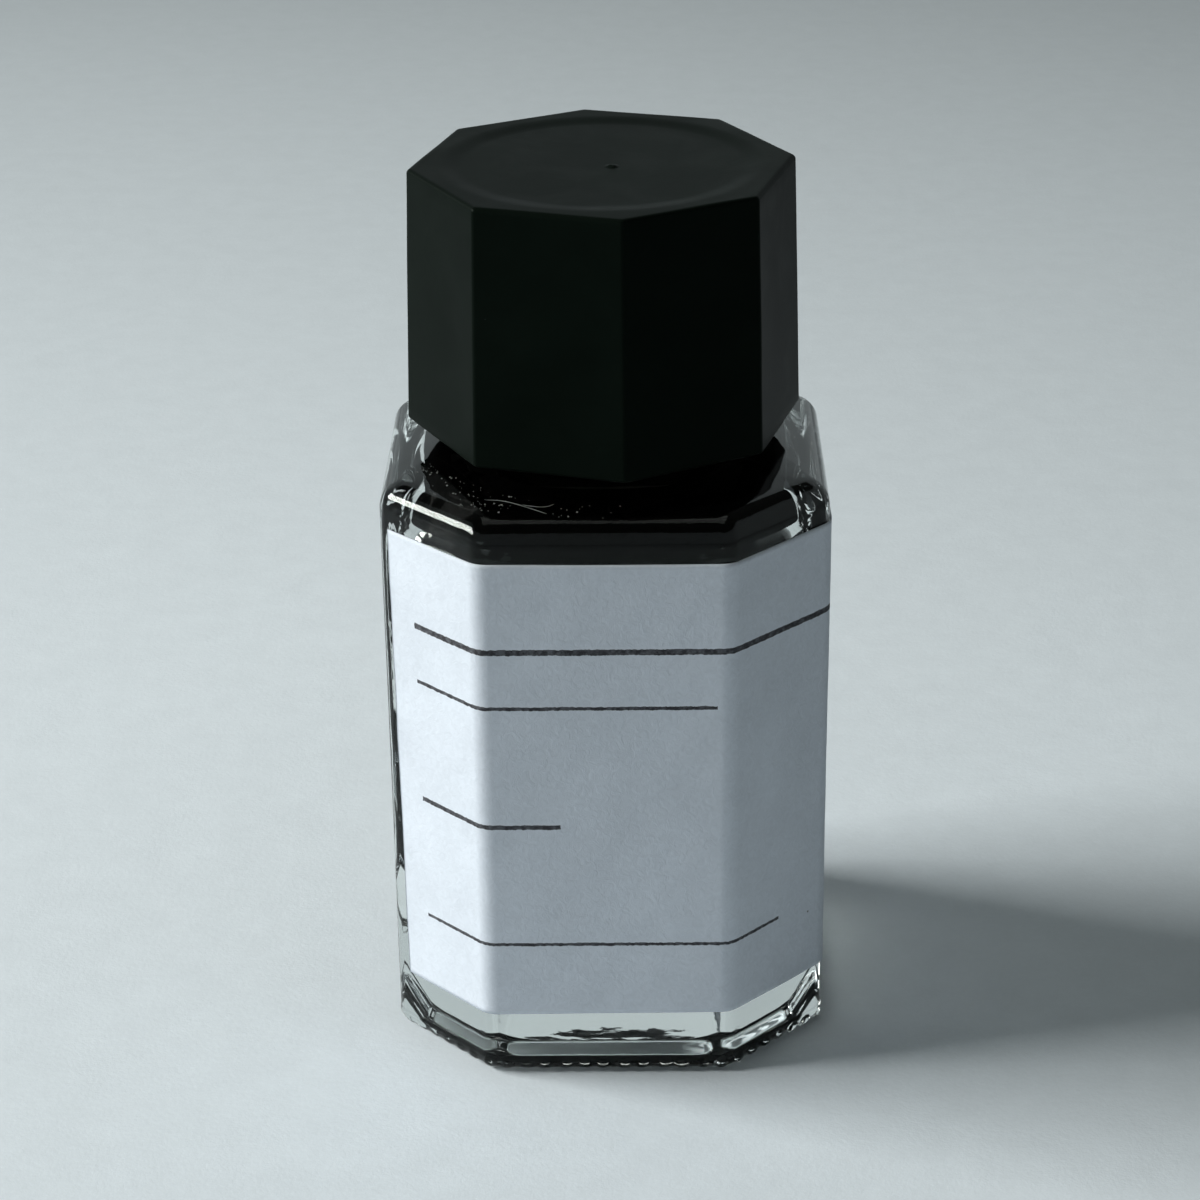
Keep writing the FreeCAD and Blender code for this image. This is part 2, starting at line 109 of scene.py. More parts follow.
def cornerCentres(half, diagonal, rounding):
    # centre of each rounded corner: where its two faces, moved in by the rounding, meet
    turn = np.arange(faceCount) * fullTurn / faceCount
    nx, ny = np.cos(turn), np.sin(turn)
    mx, my = np.roll(nx, -1), np.roll(ny, -1)
    even = np.arange(faceCount) % 2 == 0
    reach = np.where(even, half[:, None], diagonal[:, None]) - rounding[:, None]
    after = np.roll(reach, -1, axis=1)
    spread = nx * my - ny * mx
    return np.stack([(reach * my - after * ny) / spread, (after * nx - reach * mx) / spread], axis=2)


def outlinePoints(rows, count, flatShare, reference):
    # points round every row: straight along a face from one corner centre to the next, then round
    # the corner; where a row is round, the points turn evenly with those of the reference row
    def cut(rows, turnOf):
        centres = cornerCentres(rows[:, 0], rows[:, 1], rows[:, 2])
        base = centres[:, face - 1] * (1 - along)[:, None] + centres[:, face] * along[:, None]
        return base + rows[:, 2, None, None] * np.stack([np.cos(turnOf), np.sin(turnOf)], axis=-1)

    step = np.arange(count) * faceCount / count
    face = step.astype(int)
    along = np.clip((step - face) / flatShare, 0, 1)
    corner = np.clip((step - face - flatShare) / (1 - flatShare), 0, 1)
    cutTurn = ((face + corner) * fullTurn / faceCount)[None]
    plain = cut(reference[None], cutTurn)[0]
    roundTurn = np.unwrap(np.arctan2(plain[:, 1], plain[:, 0]))[None]
    turn = cutTurn + rows[:, 3, None] * (roundTurn - cutTurn)
    level = cut(rows, turn)
    height = np.broadcast_to(rows[:, 4, None, None], level.shape[:2] + (1,))
    return np.concatenate([level, height], axis=2)


def outwardOf(points):
    # outward direction at each point of a grid whose rows are closed, from its neighbours
    around = np.roll(points, -1, axis=1) - np.roll(points, 1, axis=1)
    upward = np.gradient(points, axis=0)
    outward = np.cross(around, upward)
    return outward / np.maximum(np.linalg.norm(outward, axis=2, keepdims=True), 1e-12)


def bumpyField(points, wavelength, seed, waves=14):
    # about -1 to 1: plane waves in random directions, their lengths around the given one, added up
    random = np.random.default_rng(seed)
    field = np.zeros(points.shape[:-1])
    for _ in range(waves):
        direction = random.normal(size=3)
        direction *= fullTurn / (np.linalg.norm(direction) * wavelength * random.uniform(0.7, 1.5))
        field += np.sin(points @ direction + random.uniform(0, fullTurn))
    return field / math.sqrt(2 * waves)


def gridFaces(rowCount, count, first=0, closed=True):
    # four-sided faces between neighbouring rows of a grid
    row = first + np.arange(rowCount - 1)[:, None] * count
    column = np.arange(count if closed else count - 1)[None]
    after = (column + 1) % count
    corners = [row + column, row + after, row + count + after, row + count + column]
    return np.stack(corners, axis=-1).reshape(-1, 4)


def poleFaces(first, count, pole, poleBefore):
    # a fan of triangles that closes a row at a single point
    column = np.arange(count)
    after = (column + 1) % count
    centre = np.full(count, pole)
    fan = [centre, first + after, first + column] if poleBefore else [first + column, first + after, centre]
    return np.stack(fan, axis=1)


def stitchFaces(coarse, fine, count, coarseBefore):
    # joins a row to one with twice as many points: three triangles for each point of the coarse row
    column = np.arange(count)
    here, after = coarse + column, coarse + (column + 1) % count
    left, middle, right = fine + 2 * column, fine + 2 * column + 1, fine + (2 * column + 2) % (2 * count)
    triangles = np.concatenate([
        np.stack([here, middle, left], axis=1),
        np.stack([here, after, middle], axis=1),
        np.stack([after, right, middle], axis=1),
    ])
    return triangles if coarseBefore else triangles[:, ::-1]


def closedFaces(rowCount, count):
    # faces of a closed surface: rows of points, then the two single points that close its ends
    total = rowCount * count
    return [
        poleFaces(0, count, total, True),
        gridFaces(rowCount, count),
        poleFaces(total - count, count, total + 1, False),
    ]


def makeMesh(name, points, faces, material):
    # a smooth mesh from points in millimetres and lists of faces
    mesh = bpy.data.meshes.new(name)
    mesh.from_pydata((points * mm).tolist(), [], [face for group in faces for face in group.tolist()])
    mesh.polygons.foreach_set("use_smooth", np.full(len(mesh.polygons), True))
    mesh.materials.append(material)
    return mesh


def placed(name, data):
    # a new object in the scene, made of a mesh, lamp or camera
    thing = bpy.data.objects.new(name, data)
    scene.collection.objects.link(thing)
    return thing


def addPiece(name, points, faces, material, body, replaced=(), mapped=None):
    # makes a piece and hangs it on its body
    mesh = makeMesh(name, points, faces, material)
    if mapped is not None:
        corner = np.empty(len(mesh.loops), int)
        mesh.loops.foreach_get("vertex_index", corner)
        mesh.uv_layers.new(name="UVMap").data.foreach_set("uv", mapped[corner].ravel())
    mesh.update()
    piece = placed(name, mesh)
    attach(piece, body)
    if replaced:
        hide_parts(*replaced)
    return piece


# Shader helpers: a socket takes a fixed value or another node's output.
def put(tree, socket, source):
    if isinstance(source, bpy.types.NodeSocket):
        tree.links.new(source, socket)
    else:
        socket.default_value = source


def addNode(tree, kind, inputs=None, **settings):
    node = tree.nodes.new("ShaderNode" + kind)
    for key, setting in settings.items():
        setattr(node, key, setting)
    for key, source in (inputs or {}).items():
        put(tree, node.inputs[key], source)
    return node


def calc(tree, operation, first, second=0.0, clamp=False):
    return addNode(tree, "Math", {0: first, 1: second}, operation=operation, use_clamp=clamp).outputs[0]


def rescale(tree, source, low, high, newLow=0.0, newHigh=1.0):
    inputs = {"Value": source, "From Min": low, "From Max": high, "To Min": newLow, "To Max": newHigh}
    return addNode(tree, "MapRange", inputs).outputs["Result"]


def darker(colour, share):
    return tuple(channel * share for channel in colour[:3]) + (1.0,)


def blendColour(tree, share, first, second):
    node = addNode(tree, "Mix", data_type="RGBA")
    put(tree, node.inputs[0], share)
    put(tree, node.inputs[6], first)
    put(tree, node.inputs[7], second)
    return node.outputs[2]


def newGroup(name, inputs, outputs):
    # an empty node group with named number and vector sockets
    group = bpy.data.node_groups.new(name, "ShaderNodeTree")
    for key, value in inputs.items():
        kind = "NodeSocketVector" if value is None else "NodeSocketFloat"
        socket = group.interface.new_socket(key, in_out="INPUT", socket_type=kind)
        if value is not None:
            socket.default_value = value
    for key in outputs:
        group.interface.new_socket(key, in_out="OUTPUT", socket_type="NodeSocketFloat")
    return group, group.nodes.new("NodeGroupInput").outputs, group.nodes.new("NodeGroupOutput").inputs


def useGroup(tree, group, **inputs):
    node = tree.nodes.new("ShaderNodeGroup")
    node.node_tree = group
    for key, source in inputs.items():
        put(tree, node.inputs[key], source)
    return node.outputs


def times(tree, first, second):
    return calc(tree, "MULTIPLY", first, second)


def plus(tree, first, second):
    return calc(tree, "ADD", first, second)


def noise(tree, place, scale, detail, **extra):
    # cloudy noise from 0 to 1; the scale is in waves a metre
    inputs = {"Vector": place, "Scale": scale, "Detail": detail, **extra}
    return addNode(tree, "TexNoise", inputs).outputs["Fac"]


def newMaterial(name):
    # a material with its Principled shader and the point on the object, in metres
    material = bpy.data.materials.new(name)
    material.use_nodes = True
    tree = material.node_tree
    place = tree.nodes.new("ShaderNodeTexCoord").outputs["Object"]
    return material, tree, tree.nodes["Principled BSDF"], place


def wavesOf(group, length):
    # waves a metre of a length in millimetres
    return calc(group, "DIVIDE", 1 / mm, length)


def makeFibreGroup():
    # paper: long cloudy tone, short fibres, and a height for the bump
    group, given, out = newGroup("paperFibre", {"Place": None, "Size": 1.0}, ["Height", "Tone"])
    fine, broad = (calc(group, "DIVIDE", scale, given["Size"]) for scale in (2600.0, 320.0))
    fibre = noise(group, given["Place"], fine, 5.0, Roughness=0.65, Distortion=1.4)
    cloud = noise(group, given["Place"], broad, 3.0)
    put(group, out["Height"], plus(group, fibre, times(group, cloud, 0.6)))
    put(group, out["Tone"], plus(group, times(group, fibre, 0.6), times(group, cloud, 0.4)))
    return group


def makeSpeckGroup():
    # sparse specks: the middles of a few random cells
    inputs = {"Place": None, "Spacing": 1.0, "Radius": 0.1, "Share": 0.1}
    group, given, out = newGroup("sparseSpecks", inputs, ["Mask"])
    cells = addNode(group, "TexVoronoi", {"Vector": given["Place"], "Randomness": 1.0,
                                          "Scale": wavesOf(group, given["Spacing"])})
    chance = addNode(group, "SeparateColor", {"Color": cells.outputs["Color"]}).outputs[0]
    chosen = calc(group, "LESS_THAN", chance, given["Share"])
    size = times(group, given["Radius"], calc(group, "DIVIDE", chance, given["Share"]))
    inside = calc(group, "LESS_THAN", cells.outputs["Distance"], size)
    put(group, out["Mask"], times(group, chosen, inside))
    return group


def makeHandlingGroup():
    # smudges and faint rubbing: where a surface has been held it is a little less clear
    group, given, out = newGroup("handlingMarks", {"Place": None, "Size": 10.0}, ["Mask"])
    scale = wavesOf(group, given["Size"])
    smudge = noise(group, given["Place"], scale, 6.0, Roughness=0.6, Distortion=0.8)
    put(group, out["Mask"], rescale(group, smudge, 0.45, 0.75))
    return group


def makeMouldGroup():
    # the skin of moulded plastic: a very fine even grain over slow waves
    inputs = {"Place": None, "Grain": 0.12, "Wave": 6.0}
    group, given, out = newGroup("mouldedSkin", inputs, ["Height", "Tone"])
    grain = noise(group, given["Place"], wavesOf(group, given["Grain"]), 3.0)
    wave = noise(group, given["Place"], wavesOf(group, given["Wave"]), 2.0)
    put(group, out["Height"], plus(group, times(group, grain, 0.15), wave))
    put(group, out["Tone"], wave)
    return group


fibreGroup = makeFibreGroup()
speckGroup = makeSpeckGroup()
handlingGroup = makeHandlingGroup()
mouldGroup = makeMouldGroup()


def bumped(tree, shader, height, distance, strength=1.0):
    bump = addNode(tree, "Bump", {"Height": height, "Distance": distance * mm, "Strength": strength})
    put(tree, shader.inputs["Normal"], bump.outputs["Normal"])


print("helpers ready")

cameraSizes = {
    "lens": 93.16,
    "sensor": 36.0,
    "turn": 0.58,
    "rise": 24.64,
    "distance": 218.1,
    "target": (0.06, 0.0, 29.34),
    "roll": -0.62,
    "shift": -0.0064,
}


def towards(direction, rise):
    # the unit vector that points in a direction round the bottle and up by the rise, in degrees
    turn, rise = math.radians(direction), math.radians(rise)
    return Vector((math.cos(turn) * math.cos(rise), math.sin(turn) * math.cos(rise), math.sin(rise)))


def makeCamera():
    # stands at a turn and a rise round the target, looks at it, and leans by the roll
    back = towards(cameraSizes["turn"] - 90, cameraSizes["rise"])
    data = bpy.data.cameras.new("camera")
    data.lens, data.sensor_width, data.shift_x = (cameraSizes[k] for k in ("lens", "sensor", "shift"))
    data.clip_start, data.clip_end = 0.01, 10.0
    camera = placed("camera", data)
    camera.location = (Vector(cameraSizes["target"]) + back * cameraSizes["distance"]) * mm
    lean = Quaternion((0, 0, 1), math.radians(cameraSizes["roll"]))
    camera.rotation_mode = "QUATERNION"
    camera.rotation_quaternion = (-back).to_track_quat("-Z", "Y") @ lean
    scene.camera = camera


studio = {
    # the paper lies a hair below the glass, as a rough sheet touches it only at its high spots
    "footGap": 0.04,
    "floorReach": 800.0,
    "sweepRound": 400.0,
    "sweepTop": 1100.0,
    "paper": (0.732, 0.797, 0.848, 1.0),
    # painted shade: the dark colour the paper takes far from the bottle
    "paintedFarShade": (0.152, 0.174, 0.184, 1.0),
    "mottleShade": 0.94,
    # distances from the axis over which painted shade darkens the paper
    "shadeStart": 60.0,
    "shadeEnd": 520.0,
    # a glowing stretch of the wall behind, painted light seen through the glass: its brightness, the
    # brightness elsewhere and in reflections, the directions either side of straight back where it fades, the
    # heights where it ends and the distances from the axis where the wall begins
    "wallColour": (0.86, 0.96, 0.98, 1.0),
    "wallGlowBright": 0.5,
    "wallGlowDim": 0.36,
    "wallGlowMirrored": 0.45,
    "wallFade": (7.0, 11.0),
    "wallTop": (1000.0, 1300.0),
    "wallReach": (312.0, 832.0),
    # where light gathers under the glass: from one distance to the right of the axis to another, and
    # how far from the axis at most
    "gathered": (5.0, 9.0, 17.0),
    "worldColour": (0.86, 0.95, 0.90, 1.0),
    "worldStrength": 0.055,
    # name: direction it stands in, its rise, distance, width, height, power and colour
    "window": (176.5, 27.0, 1050.0, 600.0, 260.0, 16.9, (0.96, 0.965, 0.93)),
    "bounce": (240.0, 8.0, 700.0, 400.0, 120.0, 0.2, (0.88, 0.95, 1.0)),
    "ceiling": (90.0, 80.0, 1000.0, 700.0, 700.0, 1.1, (0.96, 1.0, 0.95)),
}


def makeLamp(name):
    # a rectangular lamp that faces the middle of the bottle
    direction, rise, distance, width, height, power, colour = studio[name]
    away = towards(direction, rise)
    data = bpy.data.lights.new(name, "AREA")
    data.shape, data.size, data.size_y = "RECTANGLE", width * mm, height * mm
    data.energy, data.color = power, colour
    lamp = placed(name, data)
    lamp.location = (Vector((0, 0, glassHigh[2] / 2)) + away * distance) * mm
    lamp.rotation_euler = (-away).to_track_quat("-Z", "Y").to_euler()
    lamp.visible_camera = False


def makeStudio():
    world = bpy.data.worlds.new("world")
    world.use_nodes = True
    sky = world.node_tree.nodes["Background"]
    sky.inputs["Color"].default_value = studio["worldColour"]
    sky.inputs["Strength"].default_value = studio["worldStrength"]
    scene.world = world
    for name in ("window", "bounce", "ceiling"):
        makeLamp(name)

    # a sheet of paper that turns up into a wall all round: flat, then a quarter circle, then upright
    reach, bend = studio["floorReach"], studio["sweepRound"]
    low = -studio["footGap"]
    rows = profileRows(ringRow(0.0, low), [
        (ringRow(reach, low), evenly(6)),
        (ringRow(reach + bend, bend), rounded(16, -90, 0)),
        (ringRow(reach + bend, studio["sweepTop"]), evenly(2)),
    ])[1:]
    count = 96
    points = outlinePoints(rows, count, 0.5, rows[0]).reshape(-1, 3)
    faces = [gridFaces(len(rows), count)[:, ::-1], poleFaces(0, count, len(points), False)]
    points = np.vstack([points, [0, 0, low]])
    sweep = placed("paper_sweep", makeMesh("paper_sweep", points, faces, sweepMaterial()))


def sweepMaterial():
    # matt paper with soft mottling, darker far away; the wall's own brightness is painted light: it lights
    # nothing, it is only seen directly, through the glass and in reflections
    material, tree, shader, place = newMaterial("sweepPaper")
    mottle = noise(tree, place, 260.0, 6.0, Roughness=0.7)
    grain = noise(tree, place, 2600.0, 3.0, Roughness=0.7)
    tone = plus(tree, times(tree, mottle, 0.7), times(tree, grain, 0.3))
    shade = darker(studio["paper"], studio["mottleShade"])
    near = blendColour(tree, rescale(tree, tone, 0.35, 0.65), shade, studio["paper"])
    axes = addNode(tree, "SeparateXYZ", {"Vector": place}).outputs
    squares = [times(tree, axes[key], axes[key]) for key in ("X", "Y")]
    reach = calc(tree, "SQRT", plus(tree, *squares))
    # painted shade: the paper's colour darkens from one distance from the axis to the other
    far = rescale(tree, reach, studio["shadeStart"] * mm, studio["shadeEnd"] * mm)
    put(tree, shader.inputs["Base Color"], blendColour(tree, far, near, studio["paintedFarShade"]))
    shader.inputs["Roughness"].default_value = 0.9
    shader.inputs["Specular IOR Level"].default_value = 0.2
    bumped(tree, shader, tone, 0.05)

    # painted light and painted reflection: the wall's glow, only for camera, transmission and glossy rays
    path = addNode(tree, "LightPath").outputs
    through = calc(tree, "MAXIMUM", path["Is Camera Ray"], path["Is Transmission Ray"])
    mirrored = times(tree, path["Is Glossy Ray"], studio["wallGlowMirrored"])
    inner, outer = (math.cos(math.radians(edge)) for edge in studio["wallFade"])
    backward = calc(tree, "DIVIDE", axes["Y"], calc(tree, "MAXIMUM", reach, mm))
    behind = rescale(tree, backward, outer, inner, studio["wallGlowDim"], studio["wallGlowBright"])
    low, high = (edge * mm for edge in studio["wallTop"])
    seen = calc(tree, "MAXIMUM", mirrored, times(tree, through, behind))
    level = times(tree, seen, rescale(tree, axes["Z"], low, high, 1.0, 0.1))
    start, end = (edge * mm for edge in studio["wallReach"])
    backdrop = times(tree, level, rescale(tree, reach, start, end))
    # light gathered by the glass on the paper under its side away from the window, in small blots
    start, end, edge = (length * mm for length in studio["gathered"])
    blots = noise(tree, place, 900.0, 2.0)
    under = times(tree, calc(tree, "LESS_THAN", reach, edge), rescale(tree, axes["X"], start, end))
    spots = times(tree, under, rescale(tree, blots, 0.46, 0.56, 0.1, 1.0))
    gathered = times(tree, path["Is Transmission Ray"], spots)
    put(tree, shader.inputs["Emission Color"], studio["wallColour"])
    put(tree, shader.inputs["Emission Strength"], calc(tree, "MAXIMUM", backdrop, gathered))
    return material


makeCamera()
makeStudio()
print("camera, lamps and floor ready")

glassSizes = {
    "around": 384,
    "flatShare": 0.62,
    "halfWidth": glassHigh[0],
    "rim": glassHigh[2],
    "cornerCut": 6.7,
    "cornerRound": 1.6,
    "heelRound": 0.9,
    "shoulderStart": 39.8,
    "shoulderRound": 1.9,
    "shoulderSlope": 15.0,
    "neckRadius": 7.8,
    "neckRootRound": 1.4,
    "shoulderFlat": 1.6,
    "rimRound": 0.7,
    "boreEdgeRound": 0.35,
    "boreRadius": 5.75,
    "boreRootRound": 0.6,
    "boreRootFlat": 0.15,
    # hollow, a hair larger than the ink of the frame
    "innerHalf": inkHigh[0] + 0.05,
    "cornerWall": 2.3,
    "innerCornerRound": 6.0,
    "floor": inkLow[2] - 0.05,
    "floorRound": 3.0,
    "innerShoulderStart": 37.2,
    "innerShoulderRound": 2.5,
    # foot
    "footWidth": 3.4,
    "recessDepth": 1.05,
    "recessRun": 0.61,
    "domeMargin": 1.2,
    "domeRise": 0.1,
    "bandTop": 1.9,
    # thread on the neck
    "threadPitch": 3.175,
    "threadDepth": 1.0,
    "threadBase": 2.0,
    "threadCrest": 0.9,
    "threadTurns": 1.25,
    "threadDrop": 1.2,
    "threadFade": 0.35,
    "threadEnd": 0.3,
    # knurl of half-round beads at the heel, higher on one side, each a little different in size and
    # place, and the mould's seam just above them
    "beadPitch": 1.38,
    "beadHalf": 0.45,
    "beadLevel": 0.55,
    "beadHeight": 0.12,
    "beadBias": 0.6,
    "beadSize": (0.82, 1.1),
    "beadShift": 0.08,
    "seamLevel": 1.1,
    "seamWidth": 0.09,
    "seamHeight": 0.04,
    # unevenness of the moulded surfaces
    "outsideRipple": 0.012,
    "shoulderRipple": 0.02,
    "wallRipple": 0.05,
    "floorRipple": 0.014,
    "roofRipple": 0.02,
    "outsideWave": 11.0,
    "insideWave": 5.5,
}
diagonal = (2 * glassSizes["halfWidth"] - glassSizes["cornerCut"]) / math.sqrt(2)
innerDiagonal = diagonal - glassSizes["cornerWall"]
bodyReference = cutRow(glassSizes["halfWidth"], diagonal, glassSizes["cornerRound"], 0.0)


def shoulderRows(half, corner, rounding, start, bend, ring, ripple, shrink):
    # the row where a shoulder's rounded edge ends, and the ring where its slope ends
    slope = math.radians(glassSizes["shoulderSlope"])
    inset = bend * (1 - math.sin(slope))
    height = start + bend * math.cos(slope)
    edge = cutRow(half - inset, corner - inset, rounding - shrink * inset, height, ripple)
    top = ringRow(ring, height + (half - inset - ring) * math.tan(slope), ripple)
    return edge, top


def hollowRows(wider=0.0, taller=0.0):
    # rows of the hollow from its floor's middle to where its roof meets the bore
    g = glassSizes
    wall, low = g["wallRipple"], g["floorRipple"]
    half, corner, rounding = g["innerHalf"] + wider, innerDiagonal + wider, g["innerCornerRound"]
    floor, floorRound, start = g["floor"] - taller, g["floorRound"], g["innerShoulderStart"] + taller
    ring = g["boreRadius"] + g["boreRootRound"] + g["boreRootFlat"]
    bend, ripple = g["innerShoulderRound"], g["roofRipple"]
    edge, roof = shoulderRows(half, corner, rounding, start, bend, ring, ripple, 1)
    inset = np.array([half, corner, rounding]) - floorRound
    return profileRows(ringRow(0.0, floor, low), [
        (cutRow(*inset, floor, low), evenly(8)),
        (cutRow(half, corner, rounding, floor + floorRound, wall), rounded(8, -90, 0)),
        (cutRow(half, corner, rounding, start, wall), evenly(16)),
        (edge, rounded(10, 0, 90 - g["shoulderSlope"])),
        (roof, evenly(8)),
    ])


def beadHeights(points):
    # half-round beads evenly round the heel: the height of an ellipsoid over its middle plane, the
    # square root of one less the squares of the distances along and up from the bead's middle, in
    # half widths; and the seam, a bell curve of the height
    g = glassSizes
    outline = outlinePoints(bodyReference[None], points.shape[1], g["flatShare"], bodyReference)[0]
    steps = np.linalg.norm(np.roll(outline, -1, axis=0) - outline, axis=1)
    passed = np.concatenate([[0], np.cumsum(steps)[:-1]])
    pitch = steps.sum() / round(steps.sum() / g["beadPitch"])
    number = (passed / pitch).astype(int)
    random = np.random.default_rng(4)
    size = random.uniform(*g["beadSize"], number.max() + 1)[number]
    shift = random.uniform(-g["beadShift"], g["beadShift"], number.max() + 1)[number]
    sideways = (passed - (number + 0.5 + shift) * pitch) / (g["beadHalf"] * size)
    upward = (points[:, :, 2] - g["beadLevel"]) / g["beadHalf"]
    rise = np.sqrt(np.clip(1 - sideways[None] ** 2 - upward ** 2, 0, 1))
    seam = np.exp(-((points[:, :, 2] - g["seamLevel"]) / g["seamWidth"]) ** 2)
    side = 1 + g["beadBias"] * outline[:, 0] / np.linalg.norm(outline[:, :2], axis=1)
    return g["beadHeight"] * (size * side)[None] * rise + g["seamHeight"] * seam


def threadHeights(points):
    # a ridge along a helix, whose height is its turns times the pitch: flat crest, flanks eased by
    # three squares less two cubes, fading in and out at its ends
    g = glassSizes
    turned = np.mod(np.arctan2(points[:, :, 1], points[:, :, 0]), fullTurn) / fullTurn
    start = g["rim"] - g["threadDrop"] - g["threadBase"] / 2 - g["threadTurns"] * g["threadPitch"]
    ridge = np.zeros(points.shape[:2])
    for lap in range(math.ceil(g["threadTurns"])):
        turns = turned + lap
        away = np.abs(points[:, :, 2] - start - turns * g["threadPitch"])
        flank = (g["threadBase"] / 2 - away) / ((g["threadBase"] - g["threadCrest"]) / 2)
        fade = np.minimum(turns, g["threadTurns"] - turns) * fullTurn / g["threadFade"] + g["threadEnd"]
        ridge = np.maximum(ridge, np.clip(flank, 0, 1) * np.clip(fade, 0, 1))
    return g["threadDepth"] * (3 * ridge ** 2 - 2 * ridge ** 3)


def glassBlock(rows, count, inner):
    # points of some rows with their ripple: inside the hollow it has shorter waves
    g = glassSizes
    points = outlinePoints(rows, count, g["flatShare"], bodyReference)
    wave, seed = (g["insideWave"], 7) if inner else (g["outsideWave"], 3)
    return points + outwardOf(points) * (rows[:, 5, None] * bumpyField(points, wave, seed))[..., None]


def makeGlass(material):
    # one closed surface: underside, heel, wall, shoulder, neck, bore, hollow
    g = glassSizes
    count, half = g["around"], g["halfWidth"]
    foot, recess = g["footWidth"], g["footWidth"] + g["recessRun"]
    domeTop, domeRadius = g["recessDepth"] + g["domeRise"], half - foot - g["domeMargin"]

    def bodyRow(inset, height, ripple=0.0):
        return cutRow(half - inset, diagonal - inset, g["cornerRound"], height, ripple)

    under = profileRows(ringRow(0.0, domeTop), [
        (ringRow(domeRadius, g["recessDepth"]), domed(8)),
        (bodyRow(recess, g["recessDepth"]), evenly(4)),
        (bodyRow(foot, 0.0), evenly(3)),
    ])[1:]
    heel = profileRows(bodyRow(foot * 0.6, 0.0), [
        (bodyRow(g["heelRound"], 0.0), evenly(5)),
        (bodyRow(0.0, g["heelRound"]), rounded(16, -90, 0)),
        (bodyRow(0.0, g["bandTop"]), evenly(9)),
    ])
    neckFoot = g["neckRadius"] + g["neckRootRound"]
    ring = neckFoot + g["shoulderFlat"]
    edge, top = shoulderRows(half, diagonal, g["cornerRound"], g["shoulderStart"], g["shoulderRound"], ring,
                             g["shoulderRipple"], 0)
    shoulderTop, rim = top[4], g["rim"]
    upper = profileRows(bodyRow(0.0, g["bandTop"] + 0.4, 0.0), [
        (bodyRow(0.0, g["bandTop"] + 2.5, g["outsideRipple"]), evenly(3)),
        (bodyRow(0.0, g["shoulderStart"], g["outsideRipple"]), evenly(20)),
        (edge, rounded(12, 0, 90 - g["shoulderSlope"])),
        (top, evenly(10)),
        (ringRow(neckFoot, shoulderTop), evenly(2)),
        (ringRow(g["neckRadius"], shoulderTop + g["neckRootRound"]), rounded(6, 270, 180)),
        (ringRow(g["neckRadius"], rim - g["rimRound"]), evenly(44)),
        (ringRow(g["neckRadius"] - g["rimRound"], rim), rounded(6, 0, 90)),
        (ringRow(g["boreRadius"] + g["boreEdgeRound"], rim), evenly(2)),
        (ringRow(g["boreRadius"], rim - g["boreEdgeRound"]), rounded(4, 90, 180)),
    ])
    hollow = hollowRows()[1:]
    roof = hollow[-1]
    bore = profileRows(ringRow(g["boreRadius"], rim - 2.0), [
        (ringRow(g["boreRadius"], roof[4] + g["boreRootRound"]), evenly(5)),
        (ringRow(g["boreRadius"] + g["boreRootRound"], roof[4]), rounded(4, 180, 270)),
    ])

    blocks = [
        glassBlock(under, count, False),
        glassBlock(heel, 2 * count, False),
        glassBlock(upper, count, False),
        glassBlock(bore, count, True),
        glassBlock(hollow, count, True)[::-1],
    ]
    blocks[1] = blocks[1] + outwardOf(blocks[1]) * beadHeights(blocks[1])[..., None]
    blocks[1][:, :, 2] = np.maximum(blocks[1][:, :, 2], 0.0)
    neck = blocks[2][:, :, 2] > shoulderTop + g["neckRootRound"]
    blocks[2] = blocks[2] + outwardOf(blocks[2]) * (threadHeights(blocks[2]) * neck)[..., None]

    starts = np.cumsum([0] + [block.shape[0] * block.shape[1] for block in blocks])
    points = np.concatenate([block.reshape(-1, 3) for block in blocks])
    poles = [[0, 0, domeTop], [0, 0, g["floor"]]]
    lastHeel = starts[2] - 2 * count
    rest = sum(len(block) for block in blocks[2:])
    faces = [
        poleFaces(0, count, starts[-1], True),
        gridFaces(len(under), count),
        stitchFaces(starts[1] - count, starts[1], count, True),
        gridFaces(len(heel), 2 * count, starts[1]),
        stitchFaces(starts[2], lastHeel, count, False),
        gridFaces(rest, count, starts[2]),
        poleFaces(starts[-1] - count, count, starts[-1] + 1, False),
    ]
    return addPiece("moulded_glass", np.vstack([points, poles]), faces, material, "bottle",
                    ["bottle_glass"])


def glassMaterial():
    # clear, faintly green, with smudges and slow waves left by the mould
    material, tree, shader, place = newMaterial("mouldedGlass")
    marks = useGroup(tree, handlingGroup, Place=place, Size=9.0)["Mask"]
    skin = useGroup(tree, mouldGroup, Place=place, Grain=0.8, Wave=3.2)
    shader.inputs["Transmission Weight"].default_value = 1.0
    shader.inputs["IOR"].default_value = 1.52
    shader.inputs["Specular Tint"].default_value = (0.34, 0.36, 0.35, 1.0)
    put(tree, shader.inputs["Base Color"],
        blendColour(tree, skin["Tone"], (0.93, 0.975, 0.955, 1), (0.965, 0.99, 0.975, 1)))
    put(tree, shader.inputs["Roughness"], rescale(tree, marks, 0, 1, 0.0, 0.02))
    bumped(tree, shader, skin["Height"], 0.02)
    return material


mouldedGlass = makeGlass(glassMaterial())
print("glass ready")

dustSizes = {
    "flakes": 120,
    "size": (0.03, 0.09),
    "sides": 6,
    "scatter": 0.2,
    # heights over the glass: a flake's underside, its rim, and its top besides half its size
    "under": 0.005,
    "lift": 0.02,
    # the stretch of the shoulder where it has gathered: directions, distances from the axis
    "turn": (206.0, 280.0),
    "reach": (12.7, 15.2),
    # hairs: direction and distance of the start, heading, length, bend in degrees
    "hairs": [(236.0, 14.0, -18.0, 4.6, -14.0), (247.0, 13.6, -30.0, 2.2, 60.0)],
    "hairRadius": 0.016,
    "hairSteps": 36,
    "hairLift": 0.03,
    "hairWaves": 7.0,
}


